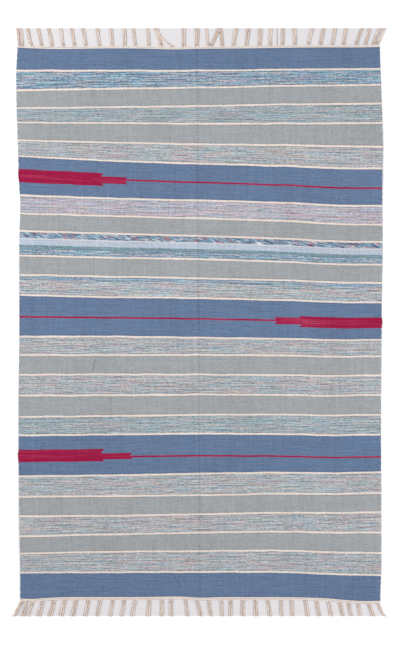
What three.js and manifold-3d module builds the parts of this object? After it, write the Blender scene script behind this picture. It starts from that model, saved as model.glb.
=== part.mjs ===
// A flat-woven cotton kilim, lying face up on a floor.
// Millimetres, +Z up. The warp runs along Y and the weft along X.
// The origin is under the middle of the whole rug, fringes included.

import * as THREE from 'three';
import { mergeVertices } from 'three/addons/utils/BufferGeometryUtils.js';
import Module from 'manifold-3d';

const wasm = await Module();
wasm.setup();

// Driving sizes of the cloth
const CLOTH_WIDTH = 1200;
const CLOTH_LENGTH = 1814;
const CLOTH_THICK = 4;
const EDGE_ROUND = 3;
const EDGE_DROP = 1.2;

// The cream heading that locks each end of the weave, and the seam line between it and the cloth
const HEADING_WIDTH = 9.5;
const HEADING_THICK = 3.6;
const SEAM_GAP = 0.3;

// The tassels are cut on one straight line past each end of the cloth
const TOP_CUT = 68;
const BOTTOM_CUT = 61;

// The selvedges wander as the weaver beat the weft, and the middle warp carries the old fold.
// One row for each stretch: how far down the cloth, and where each line lies across it.
const SELVEDGES = [
  { along: 0, left: -602, middle: -9, right: 594.5 },
  { along: 90, left: -606, middle: -8.5, right: 598 },
  { along: 200, left: -604, middle: -8, right: 601 },
  { along: 310, left: -601, middle: -7.5, right: 604.5 },
  { along: 430, left: -597, middle: -6.5, right: 603 },
  { along: 520, left: -593, middle: -6, right: 603 },
  { along: 640, left: -595.5, middle: -5, right: 604 },
  { along: 800, left: -595.5, middle: -4.5, right: 602 },
  { along: 980, left: -596, middle: -3.5, right: 599.5 },
  { along: 1160, left: -598.5, middle: -2.5, right: 598.5 },
  { along: 1400, left: -598, middle: -1.5, right: 599 },
  { along: 1560, left: -596, middle: -0.5, right: 599 },
  { along: 1700, left: -593, middle: 0.5, right: 599.5 },
  { along: 1814, left: -593, middle: 1, right: 596.5 },
];

// The two ends aren't quite straight: how far each bulges up the rug, from selvedge to selvedge
const ENDS = [
  { across: 0, top: 3, bottom: -2 },
  { across: 40, top: 1, bottom: -3.8 },
  { across: 80, top: -0.5, bottom: -1 },
  { across: 140, top: -2, bottom: 2 },
  { across: 270, top: 0, bottom: 2.5 },
  { across: 400, top: 0, bottom: 2.5 },
  { across: 530, top: -3, bottom: 4.2 },
  { across: 600, top: -1, bottom: 0.5 },
  { across: 670, top: -0.5, bottom: 2.2 },
  { across: 770, top: 0.5, bottom: 2 },
  { across: 865, top: 2, bottom: 2.3 },
  { across: 1000, top: 3.5, bottom: -0.8 },
  { across: 1130, top: 3.5, bottom: -10.3 },
  { across: 1200, top: 5, bottom: -10 },
];

// Where the cloth stands a little clear of the floor: soft waves that start at a selvedge,
// and the fold down the middle, wide and low with a sharper crest
const RIPPLES = [
  { across: 0, along: 170, width: 240, length: 190, height: 2.6 },
  { across: 0, along: 760, width: 200, length: 260, height: 1.8 },
  { across: 0, along: 1610, width: 230, length: 180, height: 2.4 },
  { across: CLOTH_WIDTH, along: 340, width: 280, length: 240, height: 3 },
  { across: CLOTH_WIDTH, along: 1010, width: 210, length: 200, height: 2 },
  { across: CLOTH_WIDTH, along: 1560, width: 240, length: 190, height: 2.2 },
];
const FOLD = [
  { reach: 45, height: 1.3 },
  { reach: 10, height: 0.7 },
];
const FLAT_END = 90;

// Tassels, numbered from the left. One row for each stretch of fringe: the root on the heading
// and the tip on the cut line. Tassels between two rows are evenly spaced.
const TOP_TASSELS = [
  { tassel: 0, root: -597, tip: -603 },
  { tassel: 1, root: -586, tip: -592.5 },
  { tassel: 2, root: -556, tip: -568.5 },
  { tassel: 4, root: -488, tip: -500 },
  { tassel: 5, root: -450, tip: -458.5 },
  { tassel: 7, root: -376, tip: -387 },
  { tassel: 8, root: -330, tip: -337 },
  { tassel: 10, root: -248, tip: -250 },
  { tassel: 11, root: -211.5, tip: -219 },
  { tassel: 12, root: -168, tip: -171 },
  { tassel: 13, root: -127, tip: -146.5 },
  { tassel: 14, root: -86, tip: -140 },
  { tassel: 15, root: -53, tip: -52.5 },
  { tassel: 16, root: -10.5, tip: -8.5 },
  { tassel: 17, root: 29, tip: 23.5 },
  { tassel: 18, root: 38, tip: 64 },
  { tassel: 19, root: 74, tip: 68 },
  { tassel: 20, root: 111.5, tip: 122 },
  { tassel: 22, root: 196.5, tip: 200 },
  { tassel: 23, root: 233, tip: 235.5 },
  { tassel: 25, root: 314, tip: 312 },
  { tassel: 26, root: 359, tip: 372.5 },
  { tassel: 29, root: 475.5, tip: 484.5 },
  { tassel: 30, root: 516.5, tip: 536.5 },
  { tassel: 31, root: 546, tip: 560.5 },
  { tassel: 32, root: 574, tip: 595 },
  { tassel: 33, root: 588, tip: 612 },
];
const BOTTOM_TASSELS = [
  { tassel: 0, root: -588, tip: -613 },
  { tassel: 1, root: -573, tip: -586 },
  { tassel: 2, root: -551, tip: -567.5 },
  { tassel: 3, root: -518, tip: -533 },
  { tassel: 6, root: -408, tip: -420.5 },
  { tassel: 9, root: -287, tip: -296 },
  { tassel: 11, root: -212, tip: -223 },
  { tassel: 12, root: -166, tip: -170.5 },
  { tassel: 13, root: -125.5, tip: -126.5 },
  { tassel: 14, root: -94, tip: -94.5 },
  { tassel: 15, root: -47, tip: -40.5 },
  { tassel: 16, root: -10, tip: 3 },
  { tassel: 18, root: 71, tip: 74 },
  { tassel: 19, root: 101.5, tip: 100.5 },
  { tassel: 21, root: 183.5, tip: 185.5 },
  { tassel: 22, root: 222.5, tip: 232.5 },
  { tassel: 23, root: 269, tip: 271.5 },
  { tassel: 24, root: 303.5, tip: 305 },
  { tassel: 25, root: 348, tip: 356 },
  { tassel: 27, root: 425, tip: 434.5 },
  { tassel: 28, root: 462, tip: 471.5 },
  { tassel: 30, root: 523, tip: 530 },
  { tassel: 31, root: 557, tip: 572 },
  { tassel: 32, root: 589, tip: 612 },
];

// A tassel is two plies of warp ends, side by side. One row for each ring of a ply:
// how far out of the heading, its middle off the tassel's line, its width, its low and high sides.
// A share counts along the stretch that is left past the knot.
const PLY_RINGS = [
  { out: -4, share: 0, off: 2.6, width: 4, low: 0.7, high: 2.9 },
  { out: 2.5, share: 0, off: 3.2, width: 5.6, low: 0, high: 5 },
  { out: 8, share: 0, off: 3.6, width: 6.6, low: 0, high: 7 },
  { out: 14, share: 0, off: 2.9, width: 5, low: 0, high: 5 },
  { out: 14, share: 0.5, off: 3.2, width: 5.4, low: 0, high: 4.6 },
  { out: 14, share: 1, off: 3.8, width: 5.8, low: 0, high: 3.8 },
];
const PLY_TAPER = 0.82;

// Most tassels bow a little to either side, and one is pulled over to lie against its neighbour
const SWAY = 1.6;
const SWAY_STEP = 2.1;
const PULLED_OVER = { end: 'top', tassel: 14, swing: -15 };

// Grid of the cloth: cells between one stop and the next, across it and along it
const COLUMN_STOPS = [
  { to: EDGE_ROUND, cells: 1 },
  { to: 555, cells: 9 },
  { to: 590, cells: 2 },
  { to: 610, cells: 2 },
  { to: 645, cells: 2 },
  { to: CLOTH_WIDTH - EDGE_ROUND, cells: 9 },
  { to: CLOTH_WIDTH, cells: 1 },
];
const ROW_STOPS = [
  { to: EDGE_ROUND, cells: 1 },
  { to: CLOTH_LENGTH - EDGE_ROUND, cells: 38 },
  { to: CLOTH_LENGTH, cells: 1 },
];

const stopsToGrid = (stops) => {
  const grid = [0];
  for (const { to, cells } of stops) {
    const from = grid.at(-1);
    for (let cell = 1; cell <= cells; cell += 1) grid.push(from + ((to - from) * cell) / cells);
  }
  return grid;
};

// A smooth line through one column of a table, read at any place along another column
const smoothAt = (table, key, column, place) => {
  const last = table.length - 1;
  let row = 0;
  while (row < last - 1 && place > table[row + 1][key]) row += 1;
  const slope = (i) => {
    const low = table[Math.max(i - 1, 0)];
    const high = table[Math.min(i + 1, last)];
    return (high[column] - low[column]) / (high[key] - low[key]);
  };
  const start = table[row];
  const end = table[row + 1];
  const gap = end[key] - start[key];
  const t = THREE.MathUtils.clamp((place - start[key]) / gap, 0, 1);
  const rise = end[column] - start[column];
  const bendIn = slope(row) * gap - rise;
  const bendOut = rise - slope(row + 1) * gap;
  return start[column] + t * rise + t * (1 - t) * ((1 - t) * bendIn + t * bendOut);
};

// A straight line between the two rows around a place
const evenAt = (table, key, column, place) => {
  const next = table.findIndex((row, i) => i > 0 && place <= row[key]);
  const start = table[next - 1];
  const end = table[next];
  return THREE.MathUtils.mapLinear(place, start[key], end[key], start[column], end[column]);
};

const bell = (t) => (Math.abs(t) < 1 ? Math.cos((Math.PI * t) / 2) ** 2 : 0);

// How high the cloth's underside stands off the floor
const liftAt = (across, along) => {
  const toEnd = Math.min(along, CLOTH_LENGTH - along);
  const ending = THREE.MathUtils.smoothstep(toEnd, 0, FLAT_END);
  const fold = FOLD.reduce((sum, part) => (
    sum + part.height * bell((across - CLOTH_WIDTH / 2) / part.reach)), 0);
  const ripples = RIPPLES.reduce((sum, wave) => (
    sum + wave.height * bell((across - wave.across) / wave.width)
      * bell((along - wave.along) / wave.length)), 0);
  return ending * (fold + ripples);
};

// Place on the plan of a spot in the weave: across from the left selvedge, along from the top end
const planAt = (across, along) => {
  const line = (column) => smoothAt(SELVEDGES, 'along', column, along);
  const half = CLOTH_WIDTH / 2;
  const x = across < half
    ? THREE.MathUtils.mapLinear(across, 0, half, line('left'), line('middle'))
    : THREE.MathUtils.mapLinear(across, half, CLOTH_WIDTH, line('middle'), line('right'));
  const bulge = THREE.MathUtils.lerp(
    smoothAt(ENDS, 'across', 'top', across),
    smoothAt(ENDS, 'across', 'bottom', across),
    along / CLOTH_LENGTH);
  return new THREE.Vector2(x, CLOTH_LENGTH / 2 - along + bulge);
};

// Moves every corner of a box of unit size: shape gets the corner as shares from 0 to 1
const shapedBox = (cellsX, cellsY, shape) => {
  const geometry = new THREE.BoxGeometry(1, 1, 1, cellsX, cellsY, 1);
  const corners = geometry.attributes.position;
  const corner = new THREE.Vector3();
  for (let i = 0; i < corners.count; i += 1) {
    corner.fromBufferAttribute(corners, i).addScalar(0.5);
    const placed = shape(corner);
    corners.setXYZ(i, placed.x, placed.y, placed.z);
  }
  geometry.deleteAttribute('normal');
  geometry.deleteAttribute('uv');
  return mergeVertices(geometry, 1e-4);
};

const columns = stopsToGrid(COLUMN_STOPS);
const rows = stopsToGrid(ROW_STOPS);
const cellsAcross = columns.length - 1;
const cellsAlong = rows.length - 1;

const makeCloth = () => shapedBox(cellsAcross, cellsAlong, ({ x, y, z }) => {
  const across = columns[Math.round(x * cellsAcross)];
  const along = rows[Math.round((1 - y) * cellsAlong)];
  const plan = planAt(across, along);
  const onRim = [0, CLOTH_WIDTH].includes(across) || [0, CLOTH_LENGTH].includes(along);
  const drop = onRim ? EDGE_DROP : 0;
  const height = z > 0.5 ? CLOTH_THICK - drop : drop;
  return new THREE.Vector3(plan.x, plan.y, liftAt(across, along) + height);
});

// Place on the plan at a distance out of one end of the cloth, above a spot across it
const pastEnd = (end, across, distance) => {
  const plan = planAt(across, end === 'top' ? 0 : CLOTH_LENGTH);
  return plan.setY(plan.y + (end === 'top' ? distance : -distance));
};

const makeHeading = (end) => shapedBox(cellsAcross, 1, ({ x, y, z }) => {
  const across = columns[Math.round(x * cellsAcross)];
  const outward = end === 'top' ? y : 1 - y;
  const plan = pastEnd(end, across, SEAM_GAP + outward * HEADING_WIDTH);
  return new THREE.Vector3(plan.x, plan.y, z * HEADING_THICK);
});

// One ply of a tassel, from inside the heading to the cut line, four-sided and flat on the floor
const makePly = (end, root, tip, side, swing) => {
  const { left, right } = SELVEDGES.at(end === 'top' ? 0 : -1);
  const across = THREE.MathUtils.mapLinear(root, left, right, 0, CLOTH_WIDTH);
  const start = pastEnd(end, across, SEAM_GAP + HEADING_WIDTH);
  const cutLine = CLOTH_LENGTH / 2 + (end === 'top' ? TOP_CUT : BOTTOM_CUT);
  const reach = cutLine - Math.abs(start.y);
  const outSign = Math.sign(start.y);
  const cells = PLY_RINGS.length - 1;
  return shapedBox(1, cells, ({ x, y, z }) => {
    const ring = PLY_RINGS[Math.round((end === 'top' ? y : 1 - y) * cells)];
    const out = ring.out + ring.share * (reach - ring.out);
    const share = out / reach;
    const middle = root + (tip - root) * share + side * ring.off
      + swing * Math.sin(Math.PI * THREE.MathUtils.clamp(share, 0, 1));
    const width = ring.width * (z > 0.5 ? PLY_TAPER : 1);
    return new THREE.Vector3(
      middle + (x - 0.5) * width,
      start.y + outSign * out,
      z > 0.5 ? ring.high : ring.low);
  });
};

const toSolid = (geometry) => new wasm.Manifold(new wasm.Mesh({
  numProp: 3,
  vertProperties: new Float32Array(geometry.attributes.position.array),
  triVerts: new Uint32Array(geometry.index.array),
}));

const toGeometry = (solid) => {
  const { vertProperties, triVerts } = solid.getMesh();
  const geometry = new THREE.BufferGeometry();
  geometry.setAttribute('position', new THREE.BufferAttribute(vertProperties, 3));
  geometry.setIndex(new THREE.BufferAttribute(triVerts, 1));
  return geometry;
};

// A heading with every ply of its tassels joined to it at the root
const makeFringe = (end, tassels) => {
  let fringe = toSolid(makeHeading(end));
  for (let tassel = 0; tassel <= tassels.at(-1).tassel; tassel += 1) {
    const root = evenAt(tassels, 'tassel', 'root', tassel);
    const tip = evenAt(tassels, 'tassel', 'tip', tassel);
    const isPulled = end === PULLED_OVER.end && tassel === PULLED_OVER.tassel;
    const swing = isPulled ? PULLED_OVER.swing : SWAY * Math.sin(tassel * SWAY_STEP);
    for (const side of [-1, 1]) fringe = fringe.add(toSolid(makePly(end, root, tip, side, swing)));
  }
  return toGeometry(fringe);
};

const wovenCotton = new THREE.MeshStandardMaterial({ color: 0x8f9fb3, roughness: 0.95, metalness: 0 });
const fringeCotton = new THREE.MeshStandardMaterial({ color: 0xdccab6, roughness: 0.9, metalness: 0 });

const addPiece = (group, name, geometry, material) => {
  const piece = new THREE.Mesh(geometry, material);
  piece.name = name;
  group.add(piece);
};

const rug = new THREE.Group();
rug.name = 'kilim_rug';
addPiece(rug, 'rug_cloth', makeCloth(), wovenCotton);
addPiece(rug, 'fringe_top', makeFringe('top', TOP_TASSELS), fringeCotton);
addPiece(rug, 'fringe_bottom', makeFringe('bottom', BOTTOM_TASSELS), fringeCotton);

// The middle of the whole rug's plan goes to the origin, with the floor at zero
const box = new THREE.Box3().setFromObject(rug);
const middle = box.getCenter(new THREE.Vector3());
rug.position.set(-middle.x, -middle.y, -box.min.z);
rug.updateMatrixWorld(true);

export default rug;
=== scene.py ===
# %% [markdown]
# # A striped cotton kilim
# A kilim is a flat-woven rug without pile. Coloured wefts are beaten down so hard that they
# cover the warps, and the warps only show as fine ribs down the cloth. Each stripe is a stretch
# of weft in one yarn, so it follows the wefts wherever they were beaten a little unevenly.
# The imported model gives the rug's place and its box. Everything here is in metres, with +X
# across the rug, +Y towards its top end and +Z up from the floor.

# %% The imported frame
import functools
import math
import random

import bmesh
import bpy
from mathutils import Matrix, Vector, noise


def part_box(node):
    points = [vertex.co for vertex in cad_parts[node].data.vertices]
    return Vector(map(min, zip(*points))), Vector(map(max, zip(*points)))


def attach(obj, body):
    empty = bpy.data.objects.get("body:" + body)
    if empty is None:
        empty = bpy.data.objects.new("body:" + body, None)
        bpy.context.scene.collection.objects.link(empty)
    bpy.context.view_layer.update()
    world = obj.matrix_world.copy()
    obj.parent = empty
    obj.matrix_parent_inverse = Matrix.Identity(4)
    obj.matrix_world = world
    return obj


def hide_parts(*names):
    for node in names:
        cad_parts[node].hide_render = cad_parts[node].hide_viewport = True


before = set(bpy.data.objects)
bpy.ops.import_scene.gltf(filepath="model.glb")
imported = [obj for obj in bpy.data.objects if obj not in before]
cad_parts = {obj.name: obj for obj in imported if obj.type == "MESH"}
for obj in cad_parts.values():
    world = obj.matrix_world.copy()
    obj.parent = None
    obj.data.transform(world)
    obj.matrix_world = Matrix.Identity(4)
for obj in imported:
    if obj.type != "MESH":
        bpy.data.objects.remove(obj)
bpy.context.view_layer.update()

# %% [markdown]
# ## Driving sizes
# The cloth is 1.2 m wide with 180 warps. The sizes are the same as in the solid model: a cloth
# 4 mm thick with rounded rims, a cream heading at each end, and tassels that are cut on one
# straight line past each end.

# %% Sizes of the cloth and its ends
CLOTH_WIDTH = 1.200
CLOTH_LENGTH = 1.814
CLOTH_THICK = 0.004
EDGE_ROUND = 0.003
HEADING_WIDTH = 0.0095
HEADING_THICK = 0.0036
TOP_CUT = 0.068
BOTTOM_CUT = 0.061
WARPS = 180
WARP_PITCH = CLOTH_WIDTH / WARPS
print(f"One warp every {WARP_PITCH * 1000:.1f} mm")

# %% [markdown]
# ## Tables and the lines through them
# A handmade outline isn't straight, so a few tables say where its lines lie. Every number in a
# row has a name, and one smooth line runs through each column, as a bent batten would.

# %% Tables with named columns
def table(columns, *rows):
    """Rows of values, each with the name of its column."""
    return [dict(zip(columns.split(), row, strict=True)) for row in rows]


def smooth_at(rows, key, column, place):
    """A smooth line through one column, read at a place along another."""
    last = len(rows) - 1
    row = 0
    while row < last - 1 and place > rows[row + 1][key]:
        row += 1

    def slope(i):
        low = rows[max(i - 1, 0)]
        high = rows[min(i + 1, last)]
        return (high[column] - low[column]) / (high[key] - low[key])

    start = rows[row]
    end = rows[row + 1]
    gap = end[key] - start[key]
    t = min(max((place - start[key]) / gap, 0), 1)
    rise = end[column] - start[column]
    bend_in = slope(row) * gap - rise
    bend_out = rise - slope(row + 1) * gap
    return start[column] + t * rise + t * (1 - t) * ((1 - t) * bend_in + t * bend_out)


def even_at(rows, key, column, place):
    """A straight line between the two rows around a place."""
    following = next(i for i, row in enumerate(rows) if i and place <= row[key])
    start = rows[following - 1]
    end = rows[following]
    share = (place - start[key]) / (end[key] - start[key])
    return start[column] + share * (end[column] - start[column])


def mix(start, end, share):
    return start + (end - start) * share


def ease(t):
    """From 0 to 1, with a soft start and a soft end."""
    t = min(max(t, 0), 1)
    return t * t * (3 - 2 * t)


def bell(t):
    """1 at the middle, falling softly to 0 at one reach to either side."""
    return math.cos(math.pi * t / 2) ** 2 if abs(t) < 1 else 0


print("Halfway up the bell:", round(bell(0.5), 3))

# %% [markdown]
# ## The outline of the cloth
# A place in the weave has two measures: how far across it lies from the left selvedge, and how
# far along from the top end. The selvedges and the two ends wander a little, and so does each
# weft: the columns of the cream lines say how much lower a weft lies at each side than in the
# middle, so the stripes wave as they do on the loom. Below the first few stripes they also dip
# a little before the right selvedge. These tables follow measurements of the picture, rounded.

# %% Selvedges, ends and wefts
SELVEDGES = table(
    "along left middle right",
    (0.000, -0.6020, -0.0090, 0.5945),
    (0.090, -0.6060, -0.0085, 0.5980),
    (0.200, -0.6040, -0.0080, 0.6010),
    (0.310, -0.6010, -0.0075, 0.6045),
    (0.430, -0.5970, -0.0065, 0.6030),
    (0.520, -0.5930, -0.0060, 0.6030),
    (0.640, -0.5955, -0.0050, 0.6040),
    (0.800, -0.5955, -0.0045, 0.6020),
    (0.980, -0.5960, -0.0035, 0.5995),
    (1.160, -0.5985, -0.0025, 0.5985),
    (1.400, -0.5980, -0.0015, 0.5990),
    (1.560, -0.5960, -0.0005, 0.5990),
    (1.700, -0.5930, 0.0005, 0.5995),
    (1.814, -0.5930, 0.0010, 0.5965),
)
ENDS = table(
    "across top bottom",
    (0.000, 0.0030, -0.0020),
    (0.040, 0.0010, -0.0038),
    (0.080, -0.0005, -0.0010),
    (0.140, -0.0020, 0.0020),
    (0.270, 0.0000, 0.0025),
    (0.400, 0.0000, 0.0025),
    (0.530, -0.0030, 0.0042),
    (0.600, -0.0010, 0.0005),
    (0.670, -0.0005, 0.0022),
    (0.770, 0.0005, 0.0020),
    (0.865, 0.0020, 0.0023),
    (1.000, 0.0035, -0.0008),
    (1.130, 0.0035, -0.0103),
    (1.200, 0.0050, -0.0100),
)
CREAM_LINES = table(
    "along left quarter three_quarter right",
    (0.073, -0.0010, -0.0005, -0.0035, -0.0060),
    (0.129, 0.0095, 0.0040, -0.0060, -0.0090),
    (0.190, 0.0070, 0.0040, -0.0060, -0.0085),
    (0.248, -0.0040, -0.0020, -0.0005, -0.0020),
    (0.316, -0.0125, -0.0060, 0.0030, 0.0095),
    (0.380, -0.0260, -0.0105, 0.0085, 0.0170),
    (0.502, -0.0175, -0.0070, 0.0085, 0.0180),
    (0.561, -0.0165, -0.0080, 0.0100, 0.0220),
    (0.619, -0.0170, -0.0080, 0.0100, 0.0205),
    (0.696, -0.0125, -0.0050, 0.0090, 0.0190),
    (0.759, -0.0120, -0.0060, 0.0065, 0.0150),
    (0.824, -0.0105, -0.0030, 0.0070, 0.0150),
    (0.955, -0.0035, -0.0040, 0.0040, 0.0070),
    (1.012, 0.0005, 0.0010, 0.0020, 0.0045),
    (1.077, 0.0005, -0.0010, 0.0015, 0.0015),
    (1.143, 0.0030, 0.0020, 0.0015, 0.0010),
    (1.210, 0.0070, 0.0035, -0.0015, -0.0010),
    (1.272, 0.0055, 0.0025, 0.0020, 0.0035),
    (1.404, 0.0090, 0.0065, -0.0035, -0.0040),
    (1.475, 0.0055, 0.0030, -0.0050, -0.0065),
    (1.538, 0.0065, 0.0055, -0.0055, -0.0070),
    (1.599, 0.0130, 0.0065, -0.0035, -0.0010),
    (1.660, 0.0075, 0.0020, -0.0015, 0.0065),
    (1.729, 0.0010, 0.0010, 0.0005, 0.0105),
)
DIP = {"across": 1.040, "reach": 0.150, "lower": 0.0029, "start": 0.300, "growth": 0.090}


@functools.cache
def weft_shape(along):
    """How much lower than its middle one weft lies, at five places across the cloth."""
    def side(column):
        return smooth_at(CREAM_LINES, "along", column, along)

    return table(
        "across lower",
        (0, side("left")),
        (CLOTH_WIDTH * 0.25, side("quarter")),
        (CLOTH_WIDTH * 0.5, 0),
        (CLOTH_WIDTH * 0.75, side("three_quarter")),
        (CLOTH_WIDTH, side("right")),
    )


def lower_at(across, along):
    """How much lower a weft lies at one place. Near an end it takes the shape of that end."""
    first = CREAM_LINES[0]["along"]
    last = CREAM_LINES[-1]["along"]
    inside = smooth_at(weft_shape(min(max(along, first), last)), "across", "lower", across)
    beyond_start = ease((along - DIP["start"]) / DIP["growth"])
    inside += DIP["lower"] * beyond_start * bell((across - DIP["across"]) / DIP["reach"])
    if along < first:
        return mix(-smooth_at(ENDS, "across", "top", across), inside, ease(along / first))
    if along > last:
        bulge = smooth_at(ENDS, "across", "bottom", across)
        return mix(inside, -bulge, ease((along - last) / (CLOTH_LENGTH - last)))
    return inside


def plan_at(across, along):
    """Where a place in the weave lies on the floor."""
    down = along + lower_at(across, along)
    half = CLOTH_WIDTH / 2
    middle = smooth_at(SELVEDGES, "along", "middle", down)
    if across < half:
        x = mix(smooth_at(SELVEDGES, "along", "left", down), middle, across / half)
    else:
        x = mix(middle, smooth_at(SELVEDGES, "along", "right", down), across / half - 1)
    return Vector((x, CLOTH_LENGTH / 2 - down, 0))


print("The left end of weft 0.38 lies at", [round(c, 4) for c in plan_at(0, 0.38)])

# %% [markdown]
# ## Where the cloth stands off the floor
# The rug was folded down its middle, so a low ridge with a sharper crest is left there, and a
# few soft waves run in from the selvedges. They are as low as a hand would feel, not see.

# %% Fold and ripples
RIPPLES = table(
    "across along width length height",
    (0, 0.170, 0.240, 0.190, 0.0026),
    (0, 0.760, 0.200, 0.260, 0.0018),
    (0, 1.610, 0.230, 0.180, 0.0024),
    (CLOTH_WIDTH, 0.340, 0.280, 0.240, 0.0030),
    (CLOTH_WIDTH, 1.010, 0.210, 0.200, 0.0020),
    (CLOTH_WIDTH, 1.560, 0.240, 0.190, 0.0022),
)
FOLD = table(
    "reach height",
    (0.045, 0.0013),
    (0.010, 0.0007),
)
FLAT_END = 0.090


def lift_at(across, along):
    """How high the underside stands off the floor."""
    to_end = min(along, CLOTH_LENGTH - along)
    fold = sum(
        part["height"] * bell((across - CLOTH_WIDTH / 2) / part["reach"])
        for part in FOLD
    )
    ripples = sum(
        wave["height"]
        * bell((across - wave["across"]) / wave["width"])
        * bell((along - wave["along"]) / wave["length"])
        for wave in RIPPLES
    )
    return ease(to_end / FLAT_END) * (fold + ripples)


print(f"The fold stands {lift_at(CLOTH_WIDTH / 2, 0.5) * 1000:.1f} mm high")

# %% [markdown]
# ## The woven cloth
# The cloth could be a thin box with a bumpy finish, but then its ribs would vanish from the
# side. Instead a flat grid with four columns for every warp is given its thickness, and every
# corner is then moved to its real place: thick over a warp, thin between two, with round rims.
# Before that move, each corner's place in the weave is written to a UV map, so the pattern
# follows the threads. Each turn of the weft pushes the selvedge out a little, and the red
# blocks push it out more.

# %% Grid of the weave
COLUMNS_PER_WARP = 4
RIB_DEPTH = 0.00032
RIM_SHARE = 0.3
INNER_ROWS = 56
WEAVE_MAP = "weave"
SELVEDGE_CUTS = 7
SELVEDGE_TURN = 0.0075
SELVEDGE_WAVE = 0.0016
BULGES = table(
    "right along out",
    (0, 0.442, 0.0024),
    (1, 0.895, 0.0028),
    (0, 1.338, 0.0024),
)
BULGE_REACH = 0.028

columns = [CLOTH_WIDTH * i / (WARPS * COLUMNS_PER_WARP) for i in range(WARPS * COLUMNS_PER_WARP + 1)]
inner_length = CLOTH_LENGTH - 2 * EDGE_ROUND
rows = [
    0,
    EDGE_ROUND / 2,
    *(EDGE_ROUND + inner_length * i / INNER_ROWS for i in range(INNER_ROWS + 1)),
    CLOTH_LENGTH - EDGE_ROUND / 2,
    CLOTH_LENGTH,
]


def half_thickness(across, along):
    """Half the cloth's thickness: a rib over each warp, and a round rim all the way round."""
    valley = math.cos(math.pi * across / WARP_PITCH) ** 2
    to_rim = min(across, CLOTH_WIDTH - across, along, CLOTH_LENGTH - along)
    inward = 1 - min(max(to_rim / EDGE_ROUND, 0), 1)
    rim = max(math.sqrt(1 - inward * inward), RIM_SHARE)
    return (CLOTH_THICK / 2 - RIB_DEPTH * valley) * rim


def on_selvedge(across):
    return min(across, CLOTH_WIDTH - across) < WARP_PITCH / 100


def selvedge_out(across, along):
    """How far the turns of the weft push a point on a selvedge out."""
    right = across > CLOTH_WIDTH / 2
    bulge = sum(
        part["out"] * bell((along - part["along"]) / BULGE_REACH)
        for part in BULGES
        if part["right"] == right
    )
    wave = SELVEDGE_WAVE * noise.noise(Vector((along / SELVEDGE_TURN, across, 0)))
    return (bulge + wave) * (1 if right else -1)


print(len(columns), "columns and", len(rows), "rows")

# %% [markdown]
# On the coarse grid the small turns of the weft would have no corners to sit on, so the
# selvedges are cut finer before anything moves.

# %% Mesh of the cloth
def new_piece(name, bm):
    """Makes an object from a finished mesh, with smooth faces that point outwards."""
    bmesh.ops.recalc_face_normals(bm, faces=bm.faces)
    mesh = bpy.data.meshes.new(name)
    bm.to_mesh(mesh)
    bm.free()
    mesh.shade_smooth()
    piece = bpy.data.objects.new(name, mesh)
    bpy.context.scene.collection.objects.link(piece)
    triangles = sum(len(face.vertices) - 2 for face in mesh.polygons)
    print(f"{name}: {triangles} triangles")
    return piece


bm = bmesh.new()
bmesh.ops.create_grid(bm, x_segments=len(columns) - 1, y_segments=len(rows) - 1, size=0.5)
for corner in bm.verts:
    across = columns[round((corner.co.x + 0.5) * (len(columns) - 1))]
    along = rows[round((0.5 - corner.co.y) * (len(rows) - 1))]
    corner.co = (across, -along, 0)
bmesh.ops.solidify(bm, geom=bm.faces, thickness=-CLOTH_THICK)
selvedge_edges = [
    edge for edge in bm.edges
    if all(on_selvedge(corner.co.x) for corner in edge.verts)
    and abs(edge.verts[0].co.y - edge.verts[1].co.y) > EDGE_ROUND
]
bmesh.ops.subdivide_edges(bm, edges=selvedge_edges, cuts=SELVEDGE_CUTS, use_grid_fill=True)
weave_map = bm.loops.layers.uv.new(WEAVE_MAP)
for face in bm.faces:
    for loop in face.loops:
        loop[weave_map].uv = (loop.vert.co.x, -loop.vert.co.y)
surface_z = max(corner.co.z for corner in bm.verts)
for corner in bm.verts:
    across = corner.co.x
    along = -corner.co.y
    side = 1 if corner.co.z > surface_z - CLOTH_THICK / 2 else -1
    height = CLOTH_THICK / 2 + side * half_thickness(across, along)
    corner.co = plan_at(across, along)
    corner.co.z = lift_at(across, along) + height
    if on_selvedge(across):
        corner.co.x += selvedge_out(across, along)

# %% [markdown]
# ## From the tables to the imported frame
# The solid model was moved so that its middle stands on the origin. The cloth's box says by how
# much, so the same shift puts every new piece where its solid is.

# %% The shift
cloth_low, cloth_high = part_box("rug_cloth")
plan_x = [corner.co.x for corner in bm.verts]
plan_y = [corner.co.y for corner in bm.verts]
SHIFT = Vector((
    (cloth_low.x + cloth_high.x - min(plan_x) - max(plan_x)) / 2,
    (cloth_low.y + cloth_high.y - min(plan_y) - max(plan_y)) / 2,
    0,
))
bmesh.ops.translate(bm, vec=SHIFT, verts=bm.verts)
cloth = new_piece("woven_cloth", bm)
print("Shift in mm:", [round(part * 1000, 2) for part in SHIFT])

# %% [markdown]
# ## The camera
# The picture looks straight down on the rug. It is 400 by 646 pixels, and the cloth is 363.3
# of them wide, which gives the size of a pixel on the floor and so the height of the camera
# above it for a long lens.

# %% Camera above the rug
PICTURE_LONG = 646
CLOTH_PIXELS = 363.3
PIXEL = CLOTH_WIDTH / CLOTH_PIXELS
PICTURE_MIDDLE = Vector((0.0009, 0.0005, 0))
LENS = 85
SENSOR = 36

camera_data = bpy.data.cameras.new("camera")
camera_data.lens = LENS
camera_data.sensor_width = SENSOR
camera = bpy.data.objects.new("camera", camera_data)
camera_height = CLOTH_THICK + PICTURE_LONG * PIXEL * LENS / SENSOR
camera.location = SHIFT + PICTURE_MIDDLE + Vector((0, 0, camera_height))
bpy.context.scene.collection.objects.link(camera)
bpy.context.scene.camera = camera
print(f"The camera hangs {camera_height:.3f} m above the floor")

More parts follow.
